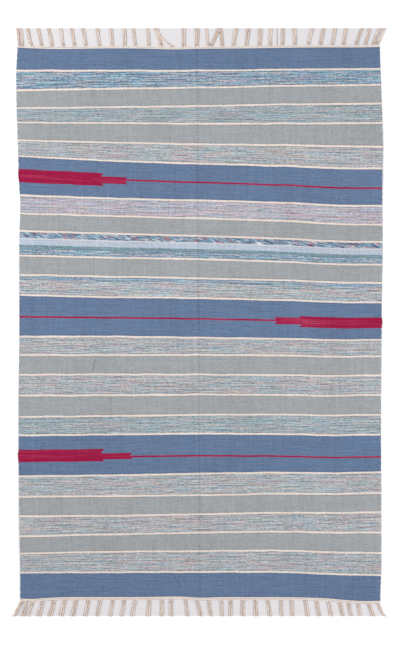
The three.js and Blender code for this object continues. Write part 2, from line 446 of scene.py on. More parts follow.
# %% [markdown]
# ## Shader maths as expressions
# A node tree is easier to read as a formula. A Value wraps one output socket, and adding or
# comparing values adds the Math node for it. Every other node comes from one method, which
# takes the node's type, its settings and then the values or links of its sockets.

# %% Values and shaders
class Value:
    """One output of a node, which can be used in an expression."""

    def __init__(self, shader, socket):
        self.shader = shader
        self.socket = socket

    def math(self, operation, *others):
        return self.shader.math(operation, self, *others)

    def __add__(self, other):
        return self.math("ADD", other)

    def __sub__(self, other):
        return self.math("SUBTRACT", other)

    def __rsub__(self, other):
        return self.shader.math("SUBTRACT", other, self)

    def __mul__(self, other):
        return self.math("MULTIPLY", other)

    def __truediv__(self, other):
        return self.math("DIVIDE", other)

    def __rtruediv__(self, other):
        return self.shader.math("DIVIDE", other, self)

    def __mod__(self, other):
        return self.math("FLOORED_MODULO", other)

    def __gt__(self, other):
        return self.math("GREATER_THAN", other)

    def __lt__(self, other):
        return self.math("LESS_THAN", other)

    def __abs__(self):
        return self.math("ABSOLUTE")

    __radd__ = __add__
    __rmul__ = __mul__

    def floor(self):
        return self.math("FLOOR")

    def sine(self):
        return self.math("SINE")

    def power(self, exponent):
        return self.math("POWER", exponent)

    def near(self, place, reach):
        """1 within a reach of a place, else 0."""
        return self.math("COMPARE", place, reach)

    def hump(self, place, reach):
        """1 at a place, falling evenly to 0 at one reach to either side."""
        return (1 - abs(self - place) / reach).math("MAXIMUM", 0)


class Shader:
    """A material whose nodes are made by expressions."""

    def __init__(self, name):
        self.material = bpy.data.materials.new(name)
        self.material.use_nodes = True
        self.tree = self.material.node_tree
        self.surface = self.tree.nodes["Principled BSDF"]

    def node(self, kind, settings=None, values=None, output=0):
        made = self.tree.nodes.new(kind)
        for name, setting in (settings or {}).items():
            if name == "stops":
                fill_ramp(made.color_ramp, setting)
            else:
                setattr(made, name, setting)
        for name, value in (values or {}).items():
            self.feed(made.inputs[name], value)
        return Value(self, made.outputs[output])

    def feed(self, socket, value):
        if isinstance(value, Value):
            self.tree.links.new(value.socket, socket)
        else:
            socket.default_value = value

    def math(self, operation, *values):
        return self.node("ShaderNodeMath", {"operation": operation}, dict(enumerate(values)))

    def split(self, vector):
        """The X and Y parts of a vector."""
        parts = self.node("ShaderNodeSeparateXYZ", values={"Vector": vector})
        outputs = parts.socket.node.outputs
        return Value(self, outputs["X"]), Value(self, outputs["Y"])

    def join(self, x, y, z=0.0):
        return self.node("ShaderNodeCombineXYZ", values={"X": x, "Y": y, "Z": z})

    def blend(self, factor, start, end, kind="MIX"):
        """Mixes two colours. A Mix node's colour sockets are known by number."""
        settings = {"data_type": "RGBA", "blend_type": kind}
        return self.node("ShaderNodeMix", settings, {0: factor, 6: start, 7: end}, output=2)

    def noise(self, vector, detail=2.0, roughness=0.5):
        """Soft noise around 0.5, one feature to a unit of the vector."""
        values = {"Vector": vector, "Scale": 1.0, "Detail": detail, "Roughness": roughness}
        return self.node("ShaderNodeTexNoise", values=values)

    def bump(self, height, distance, strength=1.0):
        values = {"Height": height, "Distance": distance, "Strength": strength}
        return self.node("ShaderNodeBump", values=values)

    def finish(self, piece, **values):
        """Feeds the shader's own sockets and gives the material to a piece."""
        for name, value in values.items():
            self.feed(self.surface.inputs[name.replace("_", " ")], value)
        piece.data.materials.clear()
        piece.data.materials.append(self.material)


def fill_ramp(ramp, stops):
    """Stops are pairs of a place and a colour."""
    while len(ramp.elements) < len(stops):
        ramp.elements.new(1.0)
    for element, (place, shade) in zip(ramp.elements, stops, strict=True):
        element.position = place
        element.color = shade


def dye(red, green, blue):
    """A colour as it is seen, 0 to 255 a part, in the shader's linear light."""
    def linear(part):
        part /= 255
        return part / 12.92 if part <= 0.04045 else ((part + 0.055) / 1.055) ** 2.4

    return (linear(red), linear(green), linear(blue), 1.0)


print("A middle grey dye is", round(dye(128, 128, 128)[0], 3))

# %% [markdown]
# ## Yarns
# The rug needs few yarns, as a weaver would buy them: one blue, one grey, four batches of
# space-dyed yarn, and two more for the narrow bands above the middle. Space-dyed yarn changes
# colour every few centimetres, so short streaks of teal, pale cyan, slate and rose lie side by
# side. Mottle says how strong the streaks are.

# %% Stripes from the top end down
BLUE = dye(95, 115, 145)
GREY = dye(152, 155, 158)
PALE_BATCH = dye(160, 163, 168)
MIDDLE_BATCH = dye(148, 158, 164)
DEEP_BATCH = dye(130, 148, 165)
ROSE_BATCH = dye(168, 165, 175)
SKY = dye(175, 185, 200)
TEAL = dye(115, 140, 150)
STRIPES = table(
    "upper yarn mottle",
    (0.0000, BLUE, 0.18),
    (0.0730, DEEP_BATCH, 1.30),
    (0.1290, GREY, 0.10),
    (0.1900, MIDDLE_BATCH, 0.90),
    (0.2480, GREY, 0.10),
    (0.3160, PALE_BATCH, 1.00),
    (0.3800, BLUE, 0.18),
    (0.5020, ROSE_BATCH, 0.95),
    (0.5610, GREY, 0.10),
    (0.6190, MIDDLE_BATCH, 0.60),
    (0.6465, SKY, 0.25),
    (0.6622, TEAL, 0.60),
    (0.6740, DEEP_BATCH, 1.30),
    (0.6960, GREY, 0.10),
    (0.7590, DEEP_BATCH, 1.10),
    (0.7750, PALE_BATCH, 1.20),
    (0.7930, PALE_BATCH, 1.05),
    (0.8240, BLUE, 0.18),
    (0.9550, PALE_BATCH, 1.00),
    (1.0120, GREY, 0.10),
    (1.0770, PALE_BATCH, 1.00),
    (1.1430, GREY, 0.10),
    (1.2100, MIDDLE_BATCH, 0.95),
    (1.2720, BLUE, 0.18),
    (1.4040, PALE_BATCH, 1.05),
    (1.4750, GREY, 0.10),
    (1.5380, PALE_BATCH, 1.05),
    (1.5990, GREY, 0.10),
    (1.6600, PALE_BATCH, 1.00),
    (1.7290, BLUE, 0.18),
)
CREAM = dye(222, 208, 199)
CREAM_HALF = 0.0029
THIN_LINE = {"along": 0.6432, "half": 0.0026}
THIN_DYE = dye(195, 197, 206)
print(len(STRIPES), "stripes and", len(CREAM_LINES) + 1, "cream lines")

# %% [markdown]
# The UV map says where a point lies across and along. The pitch of the warps and of the rows
# then tells which warp, row and pick it is on.

# %% Where a point lies in the weave
cotton = Shader("woven_cotton")
weave = cotton.node("ShaderNodeUVMap", {"uv_map": WEAVE_MAP})
across, along = cotton.split(weave)

ROW_PITCH = 0.0030
warp = (across / WARP_PITCH).floor()
odd_warp = warp % 2
row = (along / ROW_PITCH + odd_warp * 0.5).floor()
pick = row * 2 - odd_warp

# %% [markdown]
# A pick passes over every second warp, so two neighbouring warps show different picks, half a
# row apart. That gives each stripe its fine toothed edge.

# %% Plain colour of every stripe
TOOTH = 0.0003
WANDER = 0.0042
WANDERS_ACROSS = 14
WANDERS_ALONG = 3
wander = cotton.noise(cotton.join(across * WANDERS_ACROSS, along * WANDERS_ALONG)) - 0.5
stripe_place = along + (odd_warp - 0.5) * TOOTH + wander * WANDER

yarn = STRIPES[0]["yarn"]
mottle = STRIPES[0]["mottle"]
for above, stripe in zip(STRIPES, STRIPES[1:]):
    below = stripe_place > stripe["upper"]
    yarn = cotton.blend(below, yarn, stripe["yarn"])
    mottle = below * (stripe["mottle"] - above["mottle"]) + mottle

# %% [markdown]
# The weaver throws two shuttles in turn, and where one yarn is pale the other tends to be dark.
# So one part of a streak changes sign from row to row, and another part is each row's own. A
# sine of soft noise gives dyed lengths with fairly sharp changes between them. More dye makes
# a yarn darker and stronger in its own colour, just as a power of that colour does. The dark
# lengths stand out more than the pale ones, so the square of the depth adds a lean.

# %% Streaks of the space-dyed yarn
STREAK_LENGTH = 0.125
DYE_TURNS = 17.0
DEPTH_SHARE = 0.28
DARK_LEAN = 0.045
LEAN_MEAN = 0.55
HUE_SHARE = (0.145, -0.065, -0.105)
TINT_SHARE = (0.0, 0.030, -0.030)
DEPTH_CAST = (-0.035, 0.0, 0.020)
FLECK_LENGTH = 0.007
FLECK_DEPTH = 4.0
ROWS_APART = 5.3
YARNS_APART = 7.7
DYE_DETAIL = 3.0
DYE_ROUGHNESS = 0.7
PAIR_DEPTH = 0.86
ROW_DEPTH = 0.39
ROW_HUE = 0.8
PICK_HUE = 0.3
seen_row = (along / ROW_PITCH).floor()
shuttle = seen_row % 2
pair = (seen_row * 0.5).floor()


def dyed_length(number, seed, turn=0.0):
    """From -1 to 1 along one yarn. The number tells the yarns apart."""
    place = cotton.join(across / STREAK_LENGTH, number * YARNS_APART, seed)
    return ((cotton.noise(place, DYE_DETAIL, DYE_ROUGHNESS) - 0.5) * DYE_TURNS + turn).sine()


fleck = cotton.noise(cotton.join(across / FLECK_LENGTH, seen_row * ROWS_APART), 1.0) - 0.5
paired = dyed_length(pair, 0.0, shuttle * math.pi)
depth = paired * PAIR_DEPTH + dyed_length(seen_row, 5.0) * ROW_DEPTH
depth = depth + fleck * FLECK_DEPTH
hue = dyed_length(seen_row, 11.0) * ROW_HUE + dyed_length(pick, 17.0) * PICK_HUE
tint = dyed_length(seen_row, 23.0)
dye_taken = depth * DEPTH_SHARE + (depth * depth - LEAN_MEAN) * DARK_LEAN
yarn = cotton.node("ShaderNodeGamma", values={"Color": yarn, "Gamma": 1 + mottle * dye_taken})
cast = cotton.join(*(
    1 + mottle * (hue * hue_part + tint * tint_part + depth * depth_part)
    for hue_part, tint_part, depth_part in zip(HUE_SHARE, TINT_SHARE, DEPTH_CAST, strict=True)
))
yarn = cotton.blend(1.0, yarn, cast, "MULTIPLY")

# %% [markdown]
# One narrow stripe is woven from a thick twist of navy, rust, teal and white yarns, so its
# streaks lean like those on a barber's pole.

# %% The twisted stripe
TWIST = {"upper": 0.6220, "lower": 0.6412}
TWIST_LEAN = 0.25
TWIST_LENGTH = 0.034
TWIST_DYES = table(
    "red green blue thick more_than",
    (166, 189, 203, 0.0036, 0.50),
    (62, 70, 104, 0.0036, 0.54),
    (172, 98, 94, 0.0032, 0.575),
    (226, 214, 220, 0.0032, 0.61),
)
TWIST_NUDGE = 0.0030
STRANDS_APART = 9.1
STRAND_EDGE = 14
leaning = along - across * TWIST_LEAN + fleck * TWIST_NUDGE
twist = dye(104, 138, 158)
for number, strand in enumerate(TWIST_DYES):
    strand_place = cotton.join(leaning / strand["thick"], across / TWIST_LENGTH, number * STRANDS_APART)
    strand_share = (cotton.noise(strand_place) - strand["more_than"]) * STRAND_EDGE
    twist = cotton.blend(strand_share, twist, dye(strand["red"], strand["green"], strand["blue"]))
in_twist = (stripe_place > TWIST["upper"]) * (stripe_place < TWIST["lower"])
yarn = cotton.blend(in_twist, yarn, twist)

# %% [markdown]
# The red blocks are woven in from one selvedge with slit ends: each block ends in two points
# with a notch between them, and a single red line runs on across the rug. In one block the
# wefts were beaten less, and the pale warps show through in every second row.

# %% Red blocks and lines
RED_BLOCKS = table(
    "from_left upper lower reach notch",
    (1, 0.4220, 0.4625, 0.285, 0.020),
    (1, 0.4320, 0.4540, 0.364, 0.010),
    (0, 0.8765, 0.9140, 0.271, 0.020),
    (0, 0.8820, 0.9055, 0.352, 0.010),
    (1, 1.3185, 1.3580, 0.286, 0.020),
    (1, 1.3320, 1.3515, 0.379, 0.012),
)
RED_LINES = table(
    "along drift start end",
    (0.4400, 0.0045, 0.350, 1.300),
    (0.8930, -0.0010, -0.100, 0.862),
    (1.3405, 0.0095, 0.360, 1.300),
)
RED_LINE_HALF = 0.0029
RED_RIM = 0.0034
RED = dye(147, 10, 60)
RED_PALE = dye(188, 80, 112)
SHOWING = {"across": 0.950, "reach": 0.105, "along": 0.895, "half": 0.011}
WARP_OPEN = 0.45
PALE_FROM = 0.44
PALE_RISE = 1.3
PALE_STREAK = 0.05
PALE_WARP = 0.9
DARK_RIM = 0.25

red = 0.0
red_rim = 0.0
for block in RED_BLOCKS:
    inward = across if block["from_left"] else CLOTH_WIDTH - across
    middle = (block["upper"] + block["lower"]) / 2
    half = (block["lower"] - block["upper"]) / 2
    off_middle = abs(stripe_place - middle) / half
    tip = (off_middle - 1) * block["notch"] + block["reach"]
    red = ((off_middle < 1) * (inward < tip)).math("MAXIMUM", red)
    red_rim = off_middle.near(1, RED_RIM / half) * (inward < block["reach"]) + red_rim
for line in RED_LINES:
    line_place = across * (line["drift"] / CLOTH_WIDTH) + line["along"]
    inside = (across > line["start"]) * (across < line["end"])
    red = (inside * stripe_place.near(line_place, RED_LINE_HALF)).math("MAXIMUM", red)
warp_shows = across.hump(SHOWING["across"], SHOWING["reach"]) * (
    along.near(SHOWING["along"], SHOWING["half"]) * shuttle * ((across / WARP_PITCH) % 1 > WARP_OPEN))
red_row = cotton.noise(cotton.join(across * 7, seen_row * 7.3), 3.0)
red_share = (red_row - PALE_FROM) * PALE_RISE + depth * PALE_STREAK
red_share = red_share + warp_shows * PALE_WARP - red_rim * DARK_RIM
yarn = cotton.blend(red, yarn, cotton.blend(red_share, RED, RED_PALE))

# %% [markdown]
# Two rows of cream part one stripe from the next. The weft right next to them is drawn a touch darker:
# painted shade.

# %% Cream lines
PAINTED_SHADE_BY_CREAM = 0.12
PAINTED_SHADE_BY_CREAM_REACH = 0.0030
thin = stripe_place.near(THIN_LINE["along"], THIN_LINE["half"])
yarn = cotton.blend(thin, yarn, THIN_DYE)
cream = 0.0
painted_shade_by_cream = 0.0
for line in CREAM_LINES:
    cream = cream + stripe_place.near(line["along"], CREAM_HALF)
    painted_shade_by_cream = along.near(line["along"], CREAM_HALF + PAINTED_SHADE_BY_CREAM_REACH) + painted_shade_by_cream
# Painted shade: the weft next to each cream line is darkened.
yarn = cotton.blend(painted_shade_by_cream * PAINTED_SHADE_BY_CREAM, yarn, (0.0, 0.0, 0.0, 1.0))
yarn = cotton.blend(cream, yarn, CREAM)

# %% [markdown]
# Even a plain stripe isn't one flat tone: each bead of weft takes a little more or less dye.
# The grooves between the ribs are darkened with painted shade, and so is a narrow line down the
# fold in the middle. A few short creases show as darker lines of painted shade, and small ticks
# as lighter or darker dots. Along a selvedge every turn of the weft has a tone of its own.

# %% Tone, beads, and painted shade in the grooves, the fold and the creases
CREASE_REACH = 0.0035
PAINTED_CREASE_SHADES = table(
    "across along end_across end_along dark",
    (0.2535, 1.026, 0.2455, 1.071, 0.30),
    (0.3070, 1.152, 0.3070, 1.212, 0.16),
    (0.5080, 1.736, 0.5240, 1.760, 0.26),
    (0.5240, 1.760, 0.5440, 1.784, 0.22),
    (0.7040, 1.156, 0.7240, 1.182, 0.12),
)
TICK_ACROSS = 0.0055
TICK_ALONG = 0.0045
TICKS = table(
    "across along lighter",
    (0.029, 0.874, 0.40),
    (0.280, 1.392, 0.40),
    (0.863, 0.411, 0.35),
    (1.088, 0.416, 0.35),
    (1.196, 0.406, 0.35),
    (0.058, 0.005, -0.35),
    (0.035, 0.043, -0.30),
    (0.280, 1.397, -0.25),
    (0.260, 1.510, -0.30),
    (0.975, 1.759, 0.30),
    (1.192, 1.752, 0.35),
    (1.196, 1.765, 0.30),
)
SELVEDGE_WIDTH = 0.0067
FOLD_REACH = 0.005
BEAD_TONE = 0.06
SPECK_TONE = 0.40
CLOUD_TONE = 0.20
BLOTCH_TONE = 0.16
ROW_TONE = 0.22
WARP_TONE = 0.28
# The next two set how strong the painted shade is in the grooves between the ribs and along the fold.
PAINTED_GROOVE_SHADE = 0.12
PAINTED_FOLD_SHADE = 0.30
TURN_TONE = 0.30
RIGHT_TONE = 0.04
bead_noise = cotton.node(
    "ShaderNodeTexWhiteNoise", {"noise_dimensions": "2D"}, {"Vector": cotton.join(warp, pick)})
rib_share = (across / WARP_PITCH) % 1
groove = abs(rib_share - 0.5) * 2
cloudy = cotton.noise(cotton.join(across * 6, along * 6), 3.0) - 0.5
row_tone = cotton.noise(cotton.join(across * 5, seen_row * 3.1)) - 0.5
fold_line = across.hump(CLOTH_WIDTH / 2, FOLD_REACH)
painted_shade_on_fold = cotton.noise(cotton.join(across * 0.1, along * 9)) * fold_line

specks = cotton.noise(cotton.join(across / 0.008, along / 0.007)) - 0.5
warp_tone = cotton.noise(cotton.join(warp * 1.7, along * 5)) - 0.5
blotch = cotton.noise(cotton.join(across / 0.030, along / 0.020)) - 0.5
tone = 1 + (bead_noise - 0.5) * BEAD_TONE + specks * SPECK_TONE
tone = tone + cloudy * CLOUD_TONE + blotch * BLOTCH_TONE
tone = tone + row_tone * ROW_TONE + warp_tone * WARP_TONE
# Painted shade in the grooves between the ribs and along the fold in the middle.
tone = tone - groove.power(6) * (warp_tone + 0.3) * PAINTED_GROOVE_SHADE - painted_shade_on_fold * PAINTED_FOLD_SHADE
# Painted shade along each short crease.
for crease in PAINTED_CREASE_SHADES:
    run = crease["end_across"] - crease["across"]
    fall = crease["end_along"] - crease["along"]
    length = math.hypot(run, fall)
    off_across = across - crease["across"]
    off_along = along - crease["along"]
    down_crease = (off_across * run + off_along * fall) / length
    beside_crease = (off_across * fall - off_along * run) / length
    painted_shade_on_crease = beside_crease.hump(0, CREASE_REACH) * down_crease.near(length / 2, length / 2)
    tone = tone - painted_shade_on_crease * crease["dark"]
for tick in TICKS:
    here = across.hump(tick["across"], TICK_ACROSS) * along.hump(tick["along"], TICK_ALONG)
    tone = tone + here * tick["lighter"]
selvedge = (across < SELVEDGE_WIDTH) + (across > CLOTH_WIDTH - SELVEDGE_WIDTH)
turn_noise = cotton.node(
    "ShaderNodeTexWhiteNoise", {"noise_dimensions": "2D"}, {"Vector": cotton.join(selvedge, row)})
tone = tone + selvedge * ((turn_noise - 0.5) * TURN_TONE + (across > 0.5) * RIGHT_TONE)
grey_tone = cotton.join(tone, tone, tone)
yarn = cotton.blend(1.0, yarn, grey_tone, "MULTIPLY")

# %% [markdown]
# The beads of weft are too small to model one by one, so a bump gives each its round back, and
# a second one on top of it gives the fine fibres.

# %% Relief of the beads
BEAD_HEIGHT = 0.0004
BEAD_ROUNDNESS = 0.7
FIBRE_HEIGHT = 0.00012
bead_turn = (along / ROW_PITCH + odd_warp * 0.5) * math.pi
bead = abs(bead_turn.sine()).power(BEAD_ROUNDNESS)
fibre = cotton.noise(cotton.join(across * 500 + along * 700, along * 1500), 1.0)
relief = cotton.bump(bead, BEAD_HEIGHT)
relief_socket = {"Height": fibre, "Distance": FIBRE_HEIGHT, "Normal": relief}
relief = cotton.node("ShaderNodeBump", values=relief_socket)

cotton.finish(
    cloth,
    Base_Color=yarn,
    Normal=relief,
    Roughness=0.92,
    Specular_IOR_Level=0.25,
)
print("The cloth's finish has", len(cotton.tree.nodes), "nodes")

# %% [markdown]
# ## Fringes
# At each end the warps come out of the weave. A pair of twisted cream cords locks the last
# weft, and past it the warps are gathered into tassels: two loose plies of three yarns, bound
# by a small knot near the cord and cut straight. A thin darker strand lies along either side
# of a tassel. Each yarn is a strip of grid that is rolled into a tube and laid along its path,
# so the cut ends and the twist are real shapes. One single warp end of the top fringe slipped
# out of its tassel.

# %% Tassels of each end
TOP_TASSELS = table(
    "tassel root tip width",
    (0, -0.5970, -0.6030, 0.75),
    (1, -0.5860, -0.5925, 0.75),
    (2, -0.5560, -0.5685, 0.90),
    (4, -0.4880, -0.5000, 1.00),
    (5, -0.4500, -0.4585, 0.80),
    (7, -0.3760, -0.3870, 0.90),
    (8, -0.3300, -0.3370, 0.95),
    (10, -0.2480, -0.2500, 1.00),
    (11, -0.2115, -0.2190, 0.90),
    (12, -0.1680, -0.1710, 0.90),
    (13, -0.1270, -0.1465, 0.90),
    (14, -0.0860, -0.1400, 0.85),
    (15, -0.0530, -0.0525, 1.00),
    (16, -0.0105, -0.0085, 1.30),
    (17, 0.0290, 0.0235, 0.50),
    (18, 0.0380, 0.0640, 0.95),
    (19, 0.0740, 0.0680, 1.00),
    (20, 0.1115, 0.1220, 1.20),
    (22, 0.1965, 0.2000, 1.40),
    (23, 0.2330, 0.2355, 0.90),
    (25, 0.3140, 0.3120, 1.20),
    (26, 0.3590, 0.3725, 1.00),
    (29, 0.4755, 0.4845, 1.00),
    (30, 0.5165, 0.5365, 1.00),
    (31, 0.5460, 0.5605, 1.00),
    (32, 0.5740, 0.5950, 1.00),
    (33, 0.5880, 0.6120, 0.90),
)
BOTTOM_TASSELS = table(
    "tassel root tip width",
    (0, -0.5880, -0.6130, 0.90),
    (1, -0.5730, -0.5860, 1.35),
    (2, -0.5510, -0.5675, 0.85),
    (3, -0.5180, -0.5330, 1.40),
    (6, -0.4080, -0.4205, 1.30),
    (9, -0.2870, -0.2960, 0.90),
    (11, -0.2120, -0.2230, 1.00),
    (12, -0.1660, -0.1705, 1.30),
    (13, -0.1255, -0.1265, 1.00),
    (14, -0.0940, -0.0945, 1.00),
    (15, -0.0470, -0.0405, 0.90),
    (16, -0.0100, 0.0030, 1.00),
    (18, 0.0710, 0.0740, 0.90),
    (19, 0.1015, 0.1005, 1.00),
    (21, 0.1835, 0.1855, 1.25),
    (22, 0.2225, 0.2325, 1.10),
    (23, 0.2690, 0.2715, 0.90),
    (24, 0.3035, 0.3050, 1.10),
    (25, 0.3480, 0.3560, 1.10),
    (27, 0.4250, 0.4345, 1.25),
    (28, 0.4620, 0.4715, 1.00),
    (30, 0.5230, 0.5300, 0.95),
    (31, 0.5570, 0.5720, 1.30),
    (32, 0.5890, 0.6120, 0.80),
)
SWAY = 0.0016
SWAY_STEP = 2.1
PULLED_OVER = {"end": "top", "tassel": 14, "swing": -0.015}
LOOSE_STRAND = {"end": "top", "across": 0.8635, "radius": 0.0008, "waver": 0.0004}
PLY_SHAPE = table(
    "out off radius high",
    (-0.004, 0.0048, 0.0012, 0.0018),
    (0.002, 0.0038, 0.0015, 0.0025),
    (0.008, 0.0023, 0.0015, 0.0032),
    (0.014, 0.0028, 0.0018, 0.0026),
    (0.035, 0.0031, 0.0020, 0.0025),
    (0.070, 0.0036, 0.0021, 0.0022),
)

# %% [markdown]
# Every yarn, thick or thin, comes from one function. It also notes each yarn's shade, and the
# place along it, for the finish.

# %% Laying a yarn
YARN_SIDES = 6
TWIST_MAP = "along_yarn"
SHADE_LAYER = "shade"
BLEACH_LAYER = "bleached"


def new_fringe_mesh():
    bm = bmesh.new()
    bm.loops.layers.uv.new(TWIST_MAP)
    bm.verts.layers.float.new(SHADE_LAYER)
    bm.verts.layers.float.new(BLEACH_LAYER)
    return bm


def lay_yarn(bm, path, radii, up, shade, bleached=0.0, flatten=1.0):
    """Rolls a grid into a tube along a path. up is a direction that the path never takes."""
    twist_map = bm.loops.layers.uv[TWIST_MAP]
    shade_layer = bm.verts.layers.float[SHADE_LAYER]
    bleach_layer = bm.verts.layers.float[BLEACH_LAYER]
    steps = len(path) - 1
    grid = bmesh.ops.create_grid(bm, x_segments=YARN_SIDES, y_segments=steps, size=0.5)
    length = sum((b - a).length for a, b in zip(path, path[1:]))
    spots = {corner: (corner.co.x + 0.5, corner.co.y + 0.5) for corner in grid["verts"]}
    for face in {face for corner in spots for face in corner.link_faces}:
        for loop in face.loops:
            around, share = spots[loop.vert]
            loop[twist_map].uv = (around, share * length)
    for corner, (around, share) in spots.items():
        step = round(share * steps)
        before = path[max(step - 1, 0)]
        after = path[min(step + 1, steps)]
        ahead = (after - before).normalized()
        sideways = ahead.cross(up).normalized()
        upwards = sideways.cross(ahead)
        turn = 2 * math.pi * around
        arm = sideways * math.cos(turn) + upwards * (math.sin(turn) * flatten)
        corner.co = path[step] + arm * radii[step]
        corner[shade_layer] = shade
        corner[bleach_layer] = bleached


def close_yarns(bm):
    """Joins the two long sides of every tube and closes its cut ends."""
    bmesh.ops.remove_doubles(bm, verts=bm.verts, dist=1e-6)
    bmesh.ops.holes_fill(bm, edges=bm.edges, sides=YARN_SIDES)


print("A yarn has", YARN_SIDES, "sides")

# %% [markdown]
# The heading could be a plain strip, as in the solid model. Two cords twisted opposite ways
# give the small slanted turns that such a cord really has.

# %% The heading cords
CORD_STEP = 0.0022
CORD_TURN = 0.0125
CORD_RADIUS = HEADING_WIDTH / 4
PLY_RADIUS = 0.0015
PLY_FLAT = 0.8


def past_end(end, across, distance):
    """A place out of one end of the cloth, above a spot across it."""
    plan = plan_at(across, 0 if end == "top" else CLOTH_LENGTH)
    plan.y += distance if end == "top" else -distance
    return plan


def lay_heading(bm, end):
    """Two cords side by side, each twisted from two plies the opposite way to the other."""
    steps = round(CLOTH_WIDTH / CORD_STEP)
    swing = CORD_RADIUS - PLY_RADIUS
    rise = HEADING_THICK / 2 - PLY_RADIUS * PLY_FLAT
    for cord, turn_sign in ((0, 1), (1, -1)):
        for ply in range(2):
            path = []
            for step in range(steps + 1):
                across = CLOTH_WIDTH * step / steps
                turn = turn_sign * 2 * math.pi * across / CORD_TURN + math.pi * ply
                spot = past_end(end, across, CORD_RADIUS * (1 + 2 * cord) + swing * math.cos(turn))
                spot.z = HEADING_THICK / 2 + rise * math.sin(turn)
                path.append(spot + SHIFT)
            radii = [PLY_RADIUS] * len(path)
            lay_yarn(bm, path, radii, Vector((0, 0, 1)), 0.5, bleached=1.0, flatten=PLY_FLAT)


print("A cord turns once in", CORD_TURN * 1000, "mm")

# %% [markdown]
# A tassel runs from its root to its tip with a slight bow, and its yarns wind round each other.
# No yarn may sink into the floor.

# %% A tassel
YARNS_PER_PLY = 3
TASSEL_STEPS = 24
PLY_TURN = 0.110
KNOT_OUT = 0.0085
KNOT_STEPS = 12
YARN_THICK = 0.72
YARN_SPREAD = 0.62
EDGING_THICK = 0.32
EDGING_SPREAD = 1.05
SLIMMER = {"top": 0.86, "bottom": 0.95}
PALER = {"top": 0.0, "bottom": 0.12}
EDGING_WAVE = 0.009
KNOT = {"apart": 0.0011, "lean": 0.004, "wide": 0.0046, "middle": 0.0034, "high": 0.0022}
KNOT_YARN = 0.0012
draw = random.Random(7)


def lay_tassel(bm, end, root, tip, width, swing):
    """Two plies side by side from the heading to the cut, and the knot that binds them."""
    edge = SELVEDGES[0 if end == "top" else -1]
    across = CLOTH_WIDTH * (root - edge["left"]) / (edge["right"] - edge["left"])
    start = past_end(end, across, HEADING_WIDTH)
    out_sign = 1 if end == "top" else -1
    cut = CLOTH_LENGTH / 2 + (TOP_CUT if end == "top" else BOTTOM_CUT)
    reach = cut - abs(start.y)

    def line_at(out):
        share = out / reach
        bow = swing * math.sin(math.pi * min(max(share, 0), 1))
        x = root + (tip - root) * share + bow
        return Vector((x, start.y + out_sign * out, 0)) + SHIFT

    def lay_strand(side, turn_at, thick, shade):
        path = []
        radii = []
        end_out = reach - draw.uniform(0, 0.0012)
        for step in range(TASSEL_STEPS + 1):
            out = mix(PLY_SHAPE[0]["out"], end_out, step / TASSEL_STEPS)
            wide = SLIMMER[end] * mix(min(width, 1), width, ease(out / reach))
            off = smooth_at(PLY_SHAPE, "out", "off", out)
            radius = smooth_at(PLY_SHAPE, "out", "radius", out)
            high = smooth_at(PLY_SHAPE, "out", "high", out)
            turn, spread = turn_at(out)
            yarn_radius = radius * thick
            spot = line_at(out)
            spot.x += wide * (side * off + radius * spread * math.cos(turn))
            spot.z = max(high + radius * spread * math.sin(turn) * 0.8, yarn_radius)
            path.append(spot)
            radii.append(yarn_radius)
        lay_yarn(bm, path, radii, Vector((0, 0, 1)), shade)

    first_turn = draw.uniform(0, 2 * math.pi)
    tightness = draw.uniform(0.6, 1.4)
    for side in (-1, 1):
        for number in range(YARNS_PER_PLY):
            start_turn = first_turn * side + 2 * math.pi * number / YARNS_PER_PLY

            def winding(out):
                return start_turn + side * tightness * 2 * math.pi * out / PLY_TURN, YARN_SPREAD

            lay_strand(side, winding, YARN_THICK, draw.uniform(0.45, 1.0) + PALER[end])
    for side in (-1, 1):
        waver = draw.uniform(0, 2 * math.pi)

        def edging(out):
            turn = 0.5 + 0.5 * math.sin(out / EDGING_WAVE + waver)
            return (turn if side > 0 else math.pi - turn), EDGING_SPREAD

        lay_strand(side, edging, EDGING_THICK, draw.uniform(0.0, 0.35))
    lay_knot(bm, line_at, SLIMMER[end] * min(width, 1), draw.uniform(0.3, 0.7))


def lay_knot(bm, line_at, wide, shade):
    """Two turns of yarn that lean round both plies."""
    lean = draw.uniform(-0.3, 0.3)
    for wrap in (-1, 1):
        path = []
        for step in range(KNOT_STEPS + 1):
            turn = 2 * math.pi * step / KNOT_STEPS
            out = KNOT_OUT + wrap * KNOT["apart"] + lean * KNOT["lean"] * math.cos(turn)
            spot = line_at(out)
            spot.x += KNOT["wide"] * wide * math.cos(turn)
            spot.z = KNOT["middle"] + KNOT["high"] * math.sin(turn)
            path.append(spot)
        lay_yarn(bm, path, [KNOT_YARN] * len(path), Vector((0, 1, 0)), shade)


def lay_loose_strand(bm, end):
    """One warp end that slipped out of its tassel and lies straight on the floor."""
    start = past_end(end, LOOSE_STRAND["across"], HEADING_WIDTH)
    reach = CLOTH_LENGTH / 2 + TOP_CUT - start.y
    radius = LOOSE_STRAND["radius"]
    path = []
    for step in range(TASSEL_STEPS + 1):
        share = step / TASSEL_STEPS
        waver = LOOSE_STRAND["waver"] * math.sin(2 * math.pi * share)
        path.append(start + Vector((waver, reach * share, radius)) + SHIFT)
    lay_yarn(bm, path, [radius] * len(path), Vector((0, 0, 1)), 0.0)


print("A tassel has", 2 * YARNS_PER_PLY, "yarns")

# %% [markdown]
# Each fringe is its heading and all its tassels, joined into one piece. The table gives some of
# the tassels, and those between two rows are spaced evenly.

